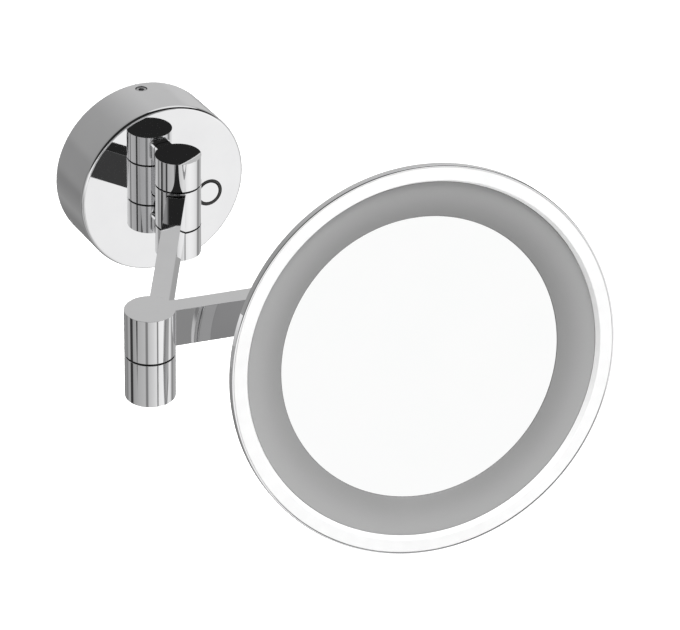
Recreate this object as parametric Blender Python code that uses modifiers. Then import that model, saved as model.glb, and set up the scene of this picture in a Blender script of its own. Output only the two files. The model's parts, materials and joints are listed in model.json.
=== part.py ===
"""Wall-mounted shaving mirror with a lit rim on two swinging arms.

The wall is the plane y = 0, the object stands out towards -Y and +Z is up. The origin is the centre of the
base's back face. Metres throughout.
"""

import math

import bmesh
import bpy
from mathutils import Matrix, Vector

# ---------------------------------------------------------------- driving dimensions
GAP = 0.0003                     # clearance between pieces that touch or are clamped

BASE_RADIUS = 0.049
BASE_DEPTH = 0.034
BASE_EDGE_RADIUS = 0.002
BASE_WALL = 0.0025
BASE_FACE = 0.003
BASE_STANDOFF = 0.0005           # cup's rear edge clears the wall

PLATE_RADIUS = 0.0462
PLATE_THICKNESS = 0.0025
PLATE_RIM_RADIUS = 0.044
PLATE_RIM_WALL = 0.0025
PLATE_RIM_DEPTH = 0.012
WALL_SCREW_RADIUS = 0.030        # pitch radius of the three wall-screw holes
WALL_SCREW_HOLE = 0.00275
WALL_SCREW_ANGLES = (30, 150, 270)

GRUB_RADIUS = 0.0030
GRUB_DEPTH = 0.007               # distance of the grub screws from the wall
GRUB_ANGLES = (90, 210, 330)     # from +X towards +Z
GRUB_SOCKET = 0.0015
GRUB_SINK = 0.0005
GRUB_SOCKET_DEPTH = 0.002
GRUB_POINT = 0.0008              # width and height of the chamfer on the point

CABLE_HOLE = (0.012, -0.028)
CABLE_HOLE_RADIUS = 0.0055
GROMMET_BORE = 0.003
GROMMET_FLANGE = 0.002           # how far the flange reaches past the hole
GROMMET_FLANGE_THICKNESS = 0.0015

DRIVER_SIZE = (0.044, 0.024, 0.016)
DRIVER_UP = 0.021                # middle of the power supply above the base's axis
DRIVER_WALL = 0.0015
BOARD_THICKNESS = 0.0016
DRIVER_COMPONENTS = ((-0.012, (0.012, 0.014, 0.009)), (0.004, (0.008, 0.008, 0.010)),
                     (0.014, (0.006, 0.012, 0.005)))
SOLDER_SINK = 0.0002             # how deep a component is sunk into its board
LID_THICKNESS = 0.0012
LID_EAR = 0.004                  # how far the lid reaches past the case at each end
LID_SCREW_RADIUS = 0.0011
LID_SCREW_HEAD = (0.002, 0.0012)

TERMINAL_SIZE = (0.020, 0.009, 0.010)
TERMINAL_PLACE = (-0.016, -0.022)
TERMINAL_PITCH = 0.0062
TERMINAL_HOLE = 0.0016
TERMINAL_HOLE_DEPTH = 0.004

THROUGH = 0.020                  # half length of a cutter that goes right through
CUT = 0.001                      # how far a cutter sticks out of the surface that it opens

BUTTON_PLACE = (0.0278, -0.0088)
BEZEL_RADIUS = 0.008
BEZEL_BORE = 0.0064
BUTTON_RADIUS = 0.0061
BUTTON_TRAVEL = 0.0015
BUTTON_HEAD = 0.003
BUTTON_STEM_RADIUS = 0.002
BUTTON_STEM_END = 0.0200         # distance of the stem's end from the wall
BEZEL_FLANGE = 0.0018
BEZEL_FLANGE_THICKNESS = 0.0015
SWITCH_SIZE = (0.012, 0.012, 0.0115)
SWITCH_TOP = 0.0240

BARREL_RADIUS = 0.0125
BARREL_OFFSET = 0.0175           # base barrel's axis in front of the base's face
SEAM = 0.001                     # open seam between two stacked barrel sections
SECTION_HALF = 0.01175           # half height of a lower barrel section
LUG_TOP = 0.0295                 # top of the base barrel above its middle
UPPER_SECTION_TOP = 0.0365       # top of the elbow's and the head's barrel
STEM_WIDTH = 0.011
STEM_HEIGHT = 0.013
STEM_TOP = 0.0285                # both stems stop a little short of the barrel's ends
STEM_SCREW_RADIUS = 0.003
STEM_SCREW_REACH = 0.0085        # thread in front of the base's face
STEM_SCREW_HEAD = (0.005, 0.003)
STEM_SCREW_BORE = 0.0015         # wires pass through the lower screw
STEM_THREAD_END = 0.0065         # blind end of the upper thread, from the barrel's axis

PIN_RADIUS = 0.005
PIN_BORE = 0.0018                # wire passage through a pin
EYE_RADIUS = PIN_RADIUS + GAP
PIN_HEAD_RADIUS = 0.008
PIN_HEAD = 0.0021
PLUG = 0.0022
DISC_SPRING = 0.0004
WASHER = 0.0004
WASHER_RADIUS = 0.0108
BLIND_TOP = 0.0045               # material left over a blind pin hole

ARM_1_LENGTH = 0.175
ARM_2_LENGTH = 0.130
BAR_THICKNESS = 0.010
BAR_HEIGHT = 0.020
ARM_1_BAR_BOTTOM = -0.009
WIRE_WAY = (0.004, 0.010)        # width and height of the passage inside a bar

ARM_1_ANGLE = -31.1              # plan angles in degrees, from straight out of the wall towards +X
ARM_2_ANGLE = 80.3
HEAD_ANGLE = -10.3
HEAD_TILT = 12.6                 # mirror's normal above the horizontal

TONGUE_WIDTH = 0.010
TONGUE_RADIUS = 0.006
TILT_OFFSET = 0.017              # tilt axis in front of the head barrel's axis
TILT_BOLT_RADIUS = 0.0018
EAR_THICKNESS = 0.004
EAR_RADIUS = 0.0055
EAR_INSIDE = TONGUE_WIDTH / 2 + SEAM
BRACKET_SIZE = (0.030, 0.036, 0.0025)
BRACKET_FRONT = 0.0065           # bracket plate's front face ahead of the tilt axis
BRACKET_SCREWS = (0.0105, 0.0145)   # heights and distances of the screws from the tilt bolt's middle
BRACKET_SCREW_RADIUS = 0.0015
BRACKET_SCREW_HEAD = (0.0027, 0.0016)
TILT_BOLT_HEAD = (0.0036, 0.0025)
TILT_NUT_HEIGHT = 0.0030
TILT_BOLT_SHORT = 0.0006            # the bolt stops this far inside the nut's outer face
TILT_WASHER_RADIUS = 0.005

MIRROR_OFFSET = 0.0224            # mirror head's front plane ahead of the tilt axis
HEAD_RADIUS = 0.100
RIM_WALL = 0.0012
RIM_DEPTH = 0.005
RIM_FLANGE_INNER = 0.092
LIGHT_RING_INNER = 0.0913
LIGHT_RING_FRONT = 0.0003
LIGHT_RING_THICKNESS = 0.0018
LIGHT_RING_SHOULDER = 0.0924     # where its flat front turns down towards the dish
LIGHT_RING_SKIRT = 0.0033        # depth that the turned-down edge reaches
LED_BOARD_INNER = 0.0930
LED_BOARD_THICKNESS = 0.0010
DISH_OUTER = 0.0910
DISH_OUTER_DEPTH = 0.0034
DISH_INNER = 0.0726
DISH_INNER_DEPTH = 0.0084
DISH_SHEET = 0.0010
DISH_LIP = 0.0028                # length of the collar around the mirror
MIRROR_RADIUS = 0.0723
MIRROR_EDGE_DEPTH = 0.0086
MIRROR_SAG = 0.0022              # depth of the concave face
MIRROR_THICKNESS = 0.0025
MIRROR_RINGS = 3
PAD_RADIUS = 0.030
PAD_CLEARANCE = 0.0002
COVER_OUTER = 0.0984
COVER_FLAT = 0.070
COVER_SHOULDER = 0.0915
COVER_BACK = 0.0156
COVER_SHEET = 0.0012
COVER_SCREW_CIRCLE = 0.0954
COVER_SCREW_RADIUS = 0.00125
COVER_SCREW_HEAD = (0.0024, 0.0013)

ROUND_BIG = 48                   # facets of the base and the mirror head
ROUND_BARREL = 32
ROUND_SMALL = 16
FACETS_SCREW = 12
HEAD_TAPER = 0.0005              # how much a screw head narrows

PARTS = "shaving_mirror"
CUTTERS = "cutters"


# ---------------------------------------------------------------- scene helpers
def clear_scene():
    for old in list(bpy.data.objects):
        bpy.data.objects.remove(old, do_unlink=True)


def make_collection(name):
    collection = bpy.data.collections.new(name)
    bpy.context.scene.collection.children.link(collection)
    return collection


def make_material(name, colour, roughness, metallic, transmission=0.0):
    material = bpy.data.materials.new(name)
    material.use_nodes = True
    shader = material.node_tree.nodes["Principled BSDF"]
    shader.inputs["Base Color"].default_value = (*colour, 1.0)
    shader.inputs["Roughness"].default_value = roughness
    shader.inputs["Metallic"].default_value = metallic
    shader.inputs["Transmission Weight"].default_value = transmission
    return material


def add_frame(name, parent, location, rotation=(0, 0, 0)):
    """An empty that carries the pieces of one body or one axis."""
    frame = bpy.data.objects.new(name, None)
    parts.objects.link(frame)
    frame.parent = parent
    frame.location = location
    frame.rotation_euler = [math.radians(angle) for angle in rotation]
    return frame


def add_object(name, mesh, frame, location=(0, 0, 0), material=None, rotation=(0, 0, 0)):
    """A part of the model, or a cutter when it has no material."""
    obj = bpy.data.objects.new(name, mesh)
    obj.parent = frame
    obj.location = location
    obj.rotation_euler = [math.radians(angle) for angle in rotation]
    if material is None:
        cutters.objects.link(obj)
        obj.hide_render = True
        obj.display_type = "WIRE"
    else:
        parts.objects.link(obj)
        mesh.materials.append(material)
    return obj


def box_mesh(name, size, centre=(0, 0, 0)):
    mesh = bpy.data.meshes.new(name)
    shape = bmesh.new()
    bmesh.ops.create_cube(shape, size=1, matrix=Matrix.Translation(centre) @ Matrix.Diagonal((*size, 1)))
    shape.to_mesh(mesh)
    shape.free()
    return mesh


def rod_mesh(name, radius, bottom, top, facets=ROUND_SMALL):
    """An upright cylinder between two heights."""
    mesh = bpy.data.meshes.new(name)
    shape = bmesh.new()
    bmesh.ops.create_cone(shape, cap_ends=True, segments=facets, radius1=radius, radius2=radius,
                          depth=top - bottom, matrix=Matrix.Translation((0, 0, (top + bottom) / 2)))
    shape.to_mesh(mesh)
    shape.free()
    return mesh


def smooth(obj, angle=30):
    obj.data.shade_smooth()
    obj.data.set_sharp_from_angle(angle=math.radians(angle))


def add_box(name, size, frame, centre, material=None, bevel=0.0):
    obj = add_object(name, box_mesh(name, size), frame, centre, material)
    if bevel:
        edge = obj.modifiers.new("edges", "BEVEL")
        edge.width = bevel
        edge.segments = 1
    return obj


def add_rod(name, radius, bottom, top, frame, location=(0, 0, 0), material=None, rotation=(0, 0, 0),
            facets=ROUND_SMALL):
    obj = add_object(name, rod_mesh(name, radius, bottom, top, facets), frame, location, material, rotation)
    smooth(obj)
    return obj


def add_turned(name, outline, frame, location, material, facets=ROUND_SMALL, rotation=(0, 0, 0)):
    """A turned piece about the frame's Z. The outline is (radius, height), down its outer side. One that
    leaves and meets the axis is solid, and one that stays off it is closed into a ring."""
    mesh = bpy.data.meshes.new(name)
    edges = [(i, i + 1) for i in range(len(outline) - 1)]
    if outline[0][0] > 0:
        edges.append((len(outline) - 1, 0))
    mesh.from_pydata([(radius, 0, height) for radius, height in outline], edges, [])
    obj = add_object(name, mesh, frame, location, material, rotation)
    turn = obj.modifiers.new("turn", "SCREW")
    turn.steps = facets
    turn.render_steps = facets
    turn.use_merge_vertices = True
    turn.merge_threshold = 0.00001
    turn.use_smooth_shade = True
    return obj


def add_boolean(obj, operation, *others):
    for other in others:
        step = obj.modifiers.new(f"{operation.lower()} {other.name}", "BOOLEAN")
        step.operation = operation
        step.object = other


def ring_outline(inner, outer, bottom, top):
    return [(inner, top), (outer, top), (outer, bottom), (inner, bottom)]


def arc(centre_radius, centre_height, radius, start, end, steps):
    """Points of an arc in an outline, with the angle in degrees from +radius towards +height."""
    angles = [math.radians(start + (end - start) * i / steps) for i in range(steps + 1)]
    return [(centre_radius + radius * math.cos(a), centre_height + radius * math.sin(a)) for a in angles]


def screw_outline(radius, tip, under_head, head_radius, head_height):
    """A screw whose head lies below its thread and narrows a little away from it."""
    top = under_head - head_height
    return [(0, tip), (radius, tip), (radius, under_head), (head_radius, under_head),
            (head_radius - HEAD_TAPER, top), (0, top)]


def on_circle(radius, angle):
    return radius * math.cos(math.radians(angle)), radius * math.sin(math.radians(angle))


# ---------------------------------------------------------------- wall plate and what stands on it
def make_wall_plate(base):
    """A pressed plate with a rim, in the base frame: x, up and distance from the wall."""
    rim_inner = PLATE_RIM_RADIUS - PLATE_RIM_WALL
    outline = [(0, PLATE_THICKNESS), (rim_inner, PLATE_THICKNESS), (rim_inner, PLATE_RIM_DEPTH),
               (PLATE_RIM_RADIUS, PLATE_RIM_DEPTH), (PLATE_RIM_RADIUS, PLATE_THICKNESS),
               (PLATE_RADIUS, PLATE_THICKNESS), (PLATE_RADIUS, 0), (0, 0)]
    plate = add_turned("wall_plate", outline, base, (0, 0, 0), zinc, ROUND_BIG)
    for angle in WALL_SCREW_ANGLES:
        place = (*on_circle(WALL_SCREW_RADIUS, angle), 0)
        add_boolean(plate, "DIFFERENCE",
                    add_rod("wall_screw_hole", WALL_SCREW_HOLE, -CUT, PLATE_THICKNESS + CUT, base, place))
    add_boolean(plate, "DIFFERENCE",
                add_rod("cable_hole", CABLE_HOLE_RADIUS, -CUT, PLATE_THICKNESS + CUT, base,
                        (*CABLE_HOLE, 0)))


def make_grommet(base):
    neck = CABLE_HOLE_RADIUS - GAP
    flange = CABLE_HOLE_RADIUS + GROMMET_FLANGE
    under = PLATE_THICKNESS + GAP
    top = under + GROMMET_FLANGE_THICKNESS
    outline = [(GROMMET_BORE, top), (flange, top), (flange, under), (neck, under), (neck, GAP),
               (GROMMET_BORE, GAP)]
    add_turned("cable_grommet", outline, base, (*CABLE_HOLE, 0), black_rubber)


def make_driver(base):
    """The lamp's power supply: an open case, its board and a lid held by two screws."""
    size = Vector(DRIVER_SIZE)
    foot = PLATE_THICKNESS + GAP
    centre = Vector((0, DRIVER_UP, foot + size.z / 2))
    case = add_box("driver_case", size, base, centre, black_plastic)
    inside = size - Vector((2 * DRIVER_WALL, 2 * DRIVER_WALL, 0))
    add_boolean(case, "DIFFERENCE",
                add_box("driver_inside", inside, base, centre + Vector((0, 0, DRIVER_WALL))))
    board_at = Vector((0, DRIVER_UP, foot + DRIVER_WALL + GAP + BOARD_THICKNESS))
    board = add_box("driver_board", (inside.x - 2 * GAP, inside.y - 2 * GAP, BOARD_THICKNESS), base, board_at,
                    green_board)
    for across, part_size in DRIVER_COMPONENTS:
        lift = (BOARD_THICKNESS + part_size[2]) / 2 - SOLDER_SINK
        add_boolean(board, "UNION", add_box("driver_component", part_size, base,
                                            board_at + Vector((across, 0, lift))))
    lid_bottom = foot + size.z + GAP
    lid_top = lid_bottom + LID_THICKNESS
    lid = add_box("driver_lid", (size.x + 2 * LID_EAR, size.y, LID_THICKNESS), base,
                  (0, DRIVER_UP, (lid_bottom + lid_top) / 2), black_plastic)
    head_radius, head_height = LID_SCREW_HEAD
    head = lid_top + GAP
    for side, name in ((-1, "left"), (1, "right")):
        place = (side * (size.x + LID_EAR) / 2, DRIVER_UP, 0)
        add_boolean(lid, "DIFFERENCE",
                    add_rod("driver_screw_hole", LID_SCREW_RADIUS + GAP, lid_bottom - CUT, lid_top + CUT, base,
                            place))
        outline = [(0, head + head_height), (head_radius, head + head_height), (head_radius, head),
                   (LID_SCREW_RADIUS, head), (LID_SCREW_RADIUS, foot), (0, foot)]
        add_turned(f"driver_screw_{name}", outline, base, place, steel, FACETS_SCREW)


def make_terminal_block(base):
    height = TERMINAL_SIZE[2]
    centre = Vector((*TERMINAL_PLACE, PLATE_THICKNESS + GAP + height / 2))
    block = add_box("terminal_block", TERMINAL_SIZE, base, centre, white_plastic)
    for column in (-1, 0, 1):
        place = centre + Vector((column * TERMINAL_PITCH, 0, height / 2))
        add_boolean(block, "DIFFERENCE", add_rod("terminal_hole", TERMINAL_HOLE, -TERMINAL_HOLE_DEPTH, CUT,
                                                 base, place, facets=FACETS_SCREW))


# ---------------------------------------------------------------- base cup, grub screws and button
def make_base_cup(base):
    outer, depth, edge = BASE_RADIUS, BASE_DEPTH, BASE_EDGE_RADIUS
    inner = outer - BASE_WALL
    ceiling = depth - BASE_FACE
    outline = [(0, depth), *arc(outer - edge, depth - edge, edge, 90, 0, 4), (outer, BASE_STANDOFF),
               (inner, BASE_STANDOFF), (inner, ceiling), (0, ceiling)]
    cup = add_turned("base_cup", outline, base, (0, 0, 0), chrome, ROUND_BIG)
    add_boolean(cup, "DIFFERENCE",
                add_rod("bezel_hole", BEZEL_RADIUS, ceiling - CUT, depth + CUT, base, (*BUTTON_PLACE, 0),
                        facets=ROUND_BARREL))
    for side in (-1, 1):
        place = (0, side * stem_height_centre(), 0)
        add_boolean(cup, "DIFFERENCE",
                    add_rod("lug_screw_hole", STEM_SCREW_RADIUS + GAP, ceiling - CUT, depth + CUT, base, place))
    for number, angle in enumerate(GRUB_ANGLES, 1):
        add_boolean(cup, "DIFFERENCE",
                    add_rod("grub_hole", GRUB_RADIUS + GAP, inner - CUT, outer + CUT, base,
                            (0, 0, GRUB_DEPTH), rotation=radial_rotation(angle)))
        make_grub_screw(f"grub_screw_{number}", base, angle)


def radial_rotation(angle):
    """Turns a piece's Z to point away from the base's axis, at an angle from +X towards up."""
    return (90, 0, angle + 90)


def make_grub_screw(name, base, angle):
    top = BASE_RADIUS - GRUB_SINK
    bottom = PLATE_RIM_RADIUS + GAP
    outline = [(0, top), (GRUB_RADIUS, top), (GRUB_RADIUS, bottom + GRUB_POINT),
               (GRUB_RADIUS - GRUB_POINT, bottom), (0, bottom)]
    screw = add_turned(name, outline, base, (0, 0, GRUB_DEPTH), steel, ROUND_SMALL,
                       radial_rotation(angle))
    socket = add_rod("grub_socket", GRUB_SOCKET, top - GRUB_SOCKET_DEPTH, top + CUT, base, (0, 0, GRUB_DEPTH),
                     rotation=radial_rotation(angle), facets=6)
    add_boolean(screw, "DIFFERENCE", socket)


def make_button(base):
    """A bezel clipped in the face, a button flush with it and the switch behind it."""
    face, ceiling = BASE_DEPTH, BASE_DEPTH - BASE_FACE
    place = (*BUTTON_PLACE, 0)
    outer = BEZEL_RADIUS - GAP
    flange = BEZEL_RADIUS + BEZEL_FLANGE
    back = ceiling - GAP
    rear = back - BEZEL_FLANGE_THICKNESS
    outline = [(BEZEL_BORE, face), (outer, face), (outer, back), (flange, back), (flange, rear),
               (BEZEL_BORE, rear)]
    add_turned("button_bezel", outline, base, place, black_rubber, ROUND_BARREL)
    head_back = face - BUTTON_HEAD
    outline = [(0, face), (BUTTON_RADIUS, face), (BUTTON_RADIUS, head_back), (BUTTON_STEM_RADIUS, head_back),
               (BUTTON_STEM_RADIUS, BUTTON_STEM_END), (0, BUTTON_STEM_END)]
    add_turned("button", outline, button_frame, (0, 0, -BASE_DEPTH), chrome, ROUND_BARREL)
    switch = add_box("push_switch", SWITCH_SIZE, base, (*BUTTON_PLACE, SWITCH_TOP - SWITCH_SIZE[2] / 2),
                     black_plastic)
    add_boolean(switch, "DIFFERENCE",
                add_rod("switch_bore", BUTTON_STEM_RADIUS + GAP, BUTTON_STEM_END - BUTTON_TRAVEL - CUT,
                        SWITCH_TOP + CUT, base, place))


# ---------------------------------------------------------------- the three upright hinges
def stem_height_centre():
    return STEM_TOP - STEM_HEIGHT / 2


def add_section(name, bottom, top, frame, material=None):
    return add_rod(name, BARREL_RADIUS, bottom, top, frame, material=material, facets=ROUND_BARREL)


def bore_from_below(obj, frame, bottom, top):
    """The pin's hole, with the wide mouth at its lower end for the pin's head and the plug."""
    mouth = bottom + PLUG + PIN_HEAD + DISC_SPRING + 3 * GAP
    add_boolean(obj, "DIFFERENCE",
                add_rod("pin_hole", EYE_RADIUS, bottom - CUT, top, frame),
                add_rod("pin_mouth", PIN_HEAD_RADIUS + GAP, bottom - CUT, mouth, frame))


def make_pin_set(prefix, frame, bottom, top):
    """A headed pin put in from below, the disc spring under its head and the plug that hides it."""
    plug_top = bottom + PLUG
    head_bottom = plug_top + GAP
    head_top = head_bottom + PIN_HEAD
    outline = [(PIN_BORE, top), (PIN_RADIUS, top), (PIN_RADIUS, head_top), (PIN_HEAD_RADIUS, head_top),
               (PIN_HEAD_RADIUS, head_bottom), (PIN_BORE, head_bottom)]
    add_turned(f"{prefix}_pin", outline, frame, (0, 0, 0), steel)
    spring_bottom = head_top + GAP
    add_turned(f"{prefix}_disc_spring",
               ring_outline(EYE_RADIUS, PIN_HEAD_RADIUS, spring_bottom, spring_bottom + DISC_SPRING),
               frame, (0, 0, 0), steel)
    add_rod(f"{prefix}_plug", PIN_HEAD_RADIUS, bottom, plug_top, frame, material=chrome)


def add_seam_washer(name, frame, seam_centre):
    outline = ring_outline(EYE_RADIUS, WASHER_RADIUS, seam_centre - WASHER / 2, seam_centre + WASHER / 2)
    add_turned(name, outline, frame, (0, 0, 0), black_plastic)


def make_lug(name, side):
    """One fixed section of the base barrel with its stem: side 1 is the upper, -1 the lower."""
    near, far = SECTION_HALF + SEAM, LUG_TOP
    bottom, top = (near, far) if side > 0 else (-far, -near)
    lug = add_section(name, bottom, top, hinge_frame, chrome)
    length = BARREL_OFFSET - GAP
    middle = side * stem_height_centre()
    add_boolean(lug, "UNION", add_box(f"{name}_stem", (STEM_WIDTH, length, STEM_HEIGHT), hinge_frame,
                                      (0, length / 2, middle)))
    if side > 0:
        add_boolean(lug, "DIFFERENCE",
                    add_rod("pin_hole", EYE_RADIUS, bottom - CUT, top - BLIND_TOP, hinge_frame))
    else:
        bore_from_below(lug, hinge_frame, bottom, top + CUT)
    thread_end = STEM_THREAD_END if side > 0 else 0
    add_boolean(lug, "DIFFERENCE",
                add_rod("stem_thread", STEM_SCREW_RADIUS + GAP, thread_end, BARREL_OFFSET + CUT, hinge_frame,
                        (0, 0, middle), rotation=(-90, 0, 0)))


def make_lug_screw(name, base, side, bore):
    """A screw from inside the cup into a stem. The lower one is a tube that passes the wires."""
    radius, height = STEM_SCREW_HEAD
    head_top = BASE_DEPTH - BASE_FACE - GAP
    head_bottom = head_top - height
    end = BASE_DEPTH + STEM_SCREW_REACH
    place = (0, side * stem_height_centre(), 0)
    outline = [(bore, end), (STEM_SCREW_RADIUS, end), (STEM_SCREW_RADIUS, head_top), (radius, head_top),
               (radius, head_bottom), (bore, head_bottom)]
    add_turned(name, outline, base, place, steel, ROUND_SMALL)


# ---------------------------------------------------------------- arms
def add_bar(obj, name, frame, length, bottom):
    """Joins the flat bar between an arm's two barrel sections and opens the wires' way inside it."""
    middle = bottom + BAR_HEIGHT / 2
    add_boolean(obj, "UNION", add_box(f"{name}_bar", (length, BAR_THICKNESS, BAR_HEIGHT), frame,
                                      (length / 2, 0, middle)))
    return add_box(f"{name}_wire_way", (length, *WIRE_WAY), frame, (length / 2, 0, middle))


def make_arm_1():
    """Both of its sections lie low: the base barrel's middle and the elbow's lower half."""
    arm = add_section("arm_1", -SECTION_HALF, SECTION_HALF, arm_1_frame, chrome)
    add_boolean(arm, "UNION", add_section("arm_1_elbow_section", -SECTION_HALF, SECTION_HALF, elbow_mark))
    way = add_bar(arm, "arm_1", arm_1_frame, ARM_1_LENGTH, ARM_1_BAR_BOTTOM)
    add_boolean(arm, "DIFFERENCE", add_rod("arm_1_eye", EYE_RADIUS, -THROUGH, THROUGH, arm_1_frame))
    bore_from_below(arm, elbow_mark, -SECTION_HALF, THROUGH)
    add_boolean(arm, "DIFFERENCE", way)


def make_arm_2():
    """Both of its sections lie high, and its bar is flush with their tops."""
    bottom = SECTION_HALF + SEAM
    arm = add_section("arm_2", bottom, UPPER_SECTION_TOP, arm_2_frame, chrome)
    add_boolean(arm, "UNION", add_section("arm_2_head_section", bottom, UPPER_SECTION_TOP, head_mark))
    way = add_bar(arm, "arm_2", arm_2_frame, ARM_2_LENGTH, UPPER_SECTION_TOP - BAR_HEIGHT)
    for frame in (arm_2_frame, head_mark):
        add_boolean(arm, "DIFFERENCE",
                    add_rod("blind_hole", EYE_RADIUS, bottom - CUT, UPPER_SECTION_TOP - BLIND_TOP, frame))
    add_boolean(arm, "DIFFERENCE", way)


# ---------------------------------------------------------------- head knuckle and tilt hinge
def make_knuckle():
    """The head barrel's lower section with a rounded tongue for the tilt bolt."""
    knuckle = add_section("head_knuckle", -SECTION_HALF, SECTION_HALF, head_frame, chrome)
    along_bolt = (90, 0, 0)
    half = TONGUE_WIDTH / 2
    add_boolean(
        knuckle, "UNION",
        add_box("tongue", (TILT_OFFSET, TONGUE_WIDTH, 2 * TONGUE_RADIUS), head_frame, (TILT_OFFSET / 2, 0, 0)),
        add_rod("tongue_end", TONGUE_RADIUS, -half, half, head_frame, (TILT_OFFSET, 0, 0),
                rotation=along_bolt))
    bore_from_below(knuckle, head_frame, -SECTION_HALF, THROUGH)
    add_boolean(knuckle, "DIFFERENCE",
                add_rod("tongue_hole", TILT_BOLT_RADIUS + GAP, -THROUGH, THROUGH, head_frame,
                        (TILT_OFFSET, 0, 0), rotation=along_bolt))


def make_bracket():
    """A plate with two ears that straddle the tongue, and a window that the tongue's end dips into."""
    height, width, thickness = BRACKET_SIZE
    back = BRACKET_FRONT - thickness
    bracket = add_box("head_bracket", (thickness, width, height), tilt_frame,
                      (back + thickness / 2, 0, 0), chrome)
    for side in (-1, 1):
        across = side * (EAR_INSIDE + EAR_THICKNESS / 2)
        reach = back + thickness / 2
        add_boolean(
            bracket, "UNION",
            add_box("ear", (reach, EAR_THICKNESS, 2 * EAR_RADIUS), tilt_frame, (reach / 2, across, 0)),
            add_rod("ear_end", EAR_RADIUS, -EAR_THICKNESS / 2, EAR_THICKNESS / 2, tilt_frame,
                    (0, across, 0), rotation=(90, 0, 0)))
    window = (THROUGH, 2 * EAR_INSIDE, 2 * (TONGUE_RADIUS + SEAM))
    add_boolean(bracket, "DIFFERENCE",
                add_box("tongue_window", window, tilt_frame, (back, 0, 0)),
                add_rod("ear_hole", TILT_BOLT_RADIUS + GAP, -THROUGH, THROUGH, tilt_frame,
                        rotation=(90, 0, 0)))
    up, across = BRACKET_SCREWS
    tip = MIRROR_OFFSET - COVER_BACK + COVER_SHEET
    for number, (side, level) in enumerate(((-1, 1), (1, 1), (-1, -1), (1, -1)), 1):
        place = (0, side * across, level * up)
        for owner in (bracket, bpy.data.objects["back_cover"]):
            add_boolean(owner, "DIFFERENCE",
                        add_rod("bracket_screw_hole", BRACKET_SCREW_RADIUS + GAP, back - CUT,
                                tip + CUT, tilt_frame, place, rotation=(0, 90, 0), facets=FACETS_SCREW))
        outline = screw_outline(BRACKET_SCREW_RADIUS, tip, back - GAP, *BRACKET_SCREW_HEAD)
        add_turned(f"bracket_screw_{number}", outline, tilt_frame, place, steel, FACETS_SCREW, (0, 90, 0))


def make_tilt_bolt():
    """The bolt lies along the tilt axis, with its head left of the mirror and the nut on the right."""
    outside = EAR_INSIDE + EAR_THICKNESS + GAP
    along_bolt = (-90, 0, 0)
    radius, height = TILT_BOLT_HEAD
    nut_end = -outside - TILT_NUT_HEIGHT
    tip = nut_end + TILT_BOLT_SHORT
    outline = [(0, outside + height), (radius, outside + height), (radius, outside),
               (TILT_BOLT_RADIUS, outside), (TILT_BOLT_RADIUS, tip), (0, tip)]
    add_turned("tilt_bolt", outline, tilt_frame, (0, 0, 0), steel, ROUND_SMALL, along_bolt)
    nut = add_turned("tilt_nut", ring_outline(TILT_BOLT_RADIUS + GAP, radius, nut_end, -outside),
                     tilt_frame, (0, 0, 0), steel, 6, along_bolt)
    nut.modifiers["turn"].use_smooth_shade = False
    for side, name in ((1, "left"), (-1, "right")):
        middle = side * (TONGUE_WIDTH / 2 + SEAM / 2)
        outline = ring_outline(TILT_BOLT_RADIUS + GAP, TILT_WASHER_RADIUS, middle - WASHER / 2,
                               middle + WASHER / 2)
        add_turned(f"tilt_washer_{name}", outline, tilt_frame, (0, 0, 0), black_plastic, ROUND_SMALL,
                   along_bolt)


# ---------------------------------------------------------------- mirror head, seen from its front plane
def make_back_cover():
    """A shallow dish that closes the head from behind. Heights are minus the depth behind the front."""
    flange_front = RIM_DEPTH + GAP
    flange_back = flange_front + COVER_SHEET
    inside = COVER_BACK - COVER_SHEET
    shoulder = COVER_SHOULDER
    thicker = COVER_SHEET / 3        # keeps the sloping wall about as thick as the sheet
    outline = [(0, -inside), (COVER_FLAT, -inside), (shoulder, -flange_front), (COVER_OUTER, -flange_front),
               (COVER_OUTER, -flange_back), (shoulder + thicker, -flange_back),
               (COVER_FLAT + thicker, -COVER_BACK), (0, -COVER_BACK)]
    return add_turned("back_cover", outline, mirror_frame, (0, 0, 0), chrome, ROUND_BIG)


def make_rim():
    """The metal ring around the head: a thin wall with a rounded lip and a flange behind the light."""
    inner = HEAD_RADIUS - RIM_WALL
    lip = RIM_WALL / 2
    flange_front = RIM_DEPTH - RIM_WALL
    outline = [*arc(HEAD_RADIUS - lip, -lip, lip, 180, 0, 4), (HEAD_RADIUS, -RIM_DEPTH),
               (RIM_FLANGE_INNER, -RIM_DEPTH), (RIM_FLANGE_INNER, -flange_front), (inner, -flange_front)]
    return add_turned("head_rim", outline, mirror_frame, (0, 0, 0), chrome, ROUND_BIG)


def make_light():
    """The opal ring, whose inner edge turns down to the dish, and the lamp board behind it."""
    outer = HEAD_RADIUS - RIM_WALL - GAP
    front = -LIGHT_RING_FRONT
    back = front - LIGHT_RING_THICKNESS
    outline = [(LIGHT_RING_INNER, -LIGHT_RING_SKIRT), (LIGHT_RING_SHOULDER, front), (outer, front),
               (outer, back), (LIGHT_RING_SHOULDER, back), (LIGHT_RING_SHOULDER, -LIGHT_RING_SKIRT)]
    add_turned("light_ring", outline, mirror_frame, (0, 0, 0), opal, ROUND_BIG)
    board_back = -(RIM_DEPTH - RIM_WALL - GAP)
    board = ring_outline(LED_BOARD_INNER, outer, board_back, board_back + LED_BOARD_THICKNESS)
    add_turned("led_board", board, mirror_frame, (0, 0, 0), green_board, ROUND_BIG)


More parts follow.
